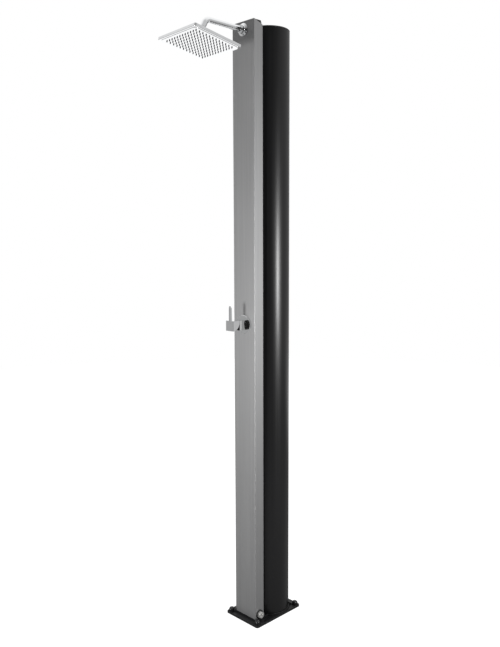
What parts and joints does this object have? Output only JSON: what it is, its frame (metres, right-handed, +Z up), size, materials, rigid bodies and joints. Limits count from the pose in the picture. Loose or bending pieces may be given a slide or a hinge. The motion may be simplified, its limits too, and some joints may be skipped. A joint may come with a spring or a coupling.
{
  "type": "outdoor shower post",
  "caption": "Free-standing solar shower: folded steel front panel, round black water tank behind it, single-lever mixer, and a square rain head on a ball joint.",
  "frame": {"origin": "centre of the four floor bolt holes, on the floor", "axes": "+Z up, the front panel, the mixer and the arm face -Y, the water inlet is on +X"},
  "size_m": [0.2032, 0.5188, 2.2],
  "materials": {
    "base_black": "moulded, slightly shiny",
    "cap_black": "smooth",
    "panel_steel": "fine vertical brushing",
    "cover_black": "matt",
    "screw_steel": "plain",
    "bracket_steel": "zinc plated",
    "tank_black": "satin pipe surface",
    "rubber_black": "matt",
    "brass": "machined",
    "nickel": "nickel plated",
    "chrome": "polished",
    "pipe_white": "smooth",
    "acetal_white": "smooth",
    "cartridge_blue": "moulded",
    "ceramic_white": "lapped",
    "nozzle_grey": "silicone, matt"
  },
  "bodies": {
    "post": {"base_plate": "base_black", "bolt_washers": "base_black", "bolt_caps": "cap_black", "front_panel": "panel_steel", "panel_top_cap": "cover_black", "rear_cover": "cover_black", "cover_screws": "screw_steel", "foot_bracket": "bracket_steel", "foot_screws": "screw_steel", "tank_tube": "tank_black", "tank_bottom_plug": "tank_black", "tank_top_cap": "tank_black", "tank_rings": "rubber_black", "tank_screws": "screw_steel", "saddles": "cover_black", "saddle_screws": "screw_steel", "union_seals": "rubber_black", "union_nuts": "brass", "inlet_fitting": "nickel", "inlet_seal": "rubber_black", "inlet_nut": "brass", "inlet_tee": "brass", "check_valve": "acetal_white", "cold_pipe": "pipe_white", "hot_pipe": "pipe_white", "mixed_pipe": "pipe_white", "pipe_nuts": "brass", "pipe_clips": "acetal_white", "hot_elbow": "brass", "mixer_manifold": "brass", "arm_elbow": "brass", "mixer_rose": "chrome", "rose_seal": "rubber_black", "mixer_body": "chrome", "mixer_nut": "brass", "cartridge_housing": "cartridge_blue", "fixed_disc": "ceramic_white", "cartridge_nut": "chrome", "arm_tube": "chrome", "arm_flange": "chrome", "flange_seal": "rubber_black", "arm_nut": "brass"},
    "carrier": {"cartridge_rotor": "acetal_white", "pivot_pin": "screw_steel"},
    "valve_disc": {"moving_disc": "ceramic_white"},
    "handle": {"mixer_stem": "brass", "handle_block": "chrome", "handle_grub_screw": "screw_steel", "lever": "chrome"},
    "swivel": {"ball_stud": "chrome"},
    "seat": {"ball_seat": "acetal_white"},
    "head": {"head_nut": "chrome", "head_shell": "chrome", "face_plate": "chrome", "nozzle_mat": "nozzle_grey", "flow_washer": "rubber_black"}
  },
  "joints": [
    {"name": "mixer_temperature", "type": "hinge", "parent": "post", "child": "carrier", "pos_m": [0, -0.12305, 1.137], "axis": [0, 1, 0], "range_deg": [-45, 45]},
    {"name": "mixer_flow", "type": "hinge", "parent": "carrier", "child": "handle", "pos_m": [0, -0.12305, 1.137], "axis": [1, 0, 0], "range_deg": [0, 20]},
    {"name": "disc_slide", "type": "slide", "parent": "carrier", "child": "valve_disc", "axis": [0, 0, 1], "range_m": [0, 0.0028]},
    {"name": "head_swivel", "type": "hinge", "parent": "post", "child": "swivel", "pos_m": [0, -0.2913, 2.1314], "axis": [0, 0.5, 0.866], "continuous": true},
    {"name": "head_tilt", "type": "hinge", "parent": "swivel", "child": "seat", "pos_m": [0, -0.2913, 2.1314], "axis": [0.9996, -0.0279, 0], "range_deg": [-50, 10]},
    {"name": "head_lean", "type": "hinge", "parent": "seat", "child": "head", "pos_m": [0, -0.2913, 2.1314], "axis": [0.0275, 0.9844, -0.1736], "range_deg": [-10, 10]}
  ],
  "couplings": [
    {"joint": "disc_slide", "follows": "mixer_flow", "m_per_rad": 0.007839}
  ]
}
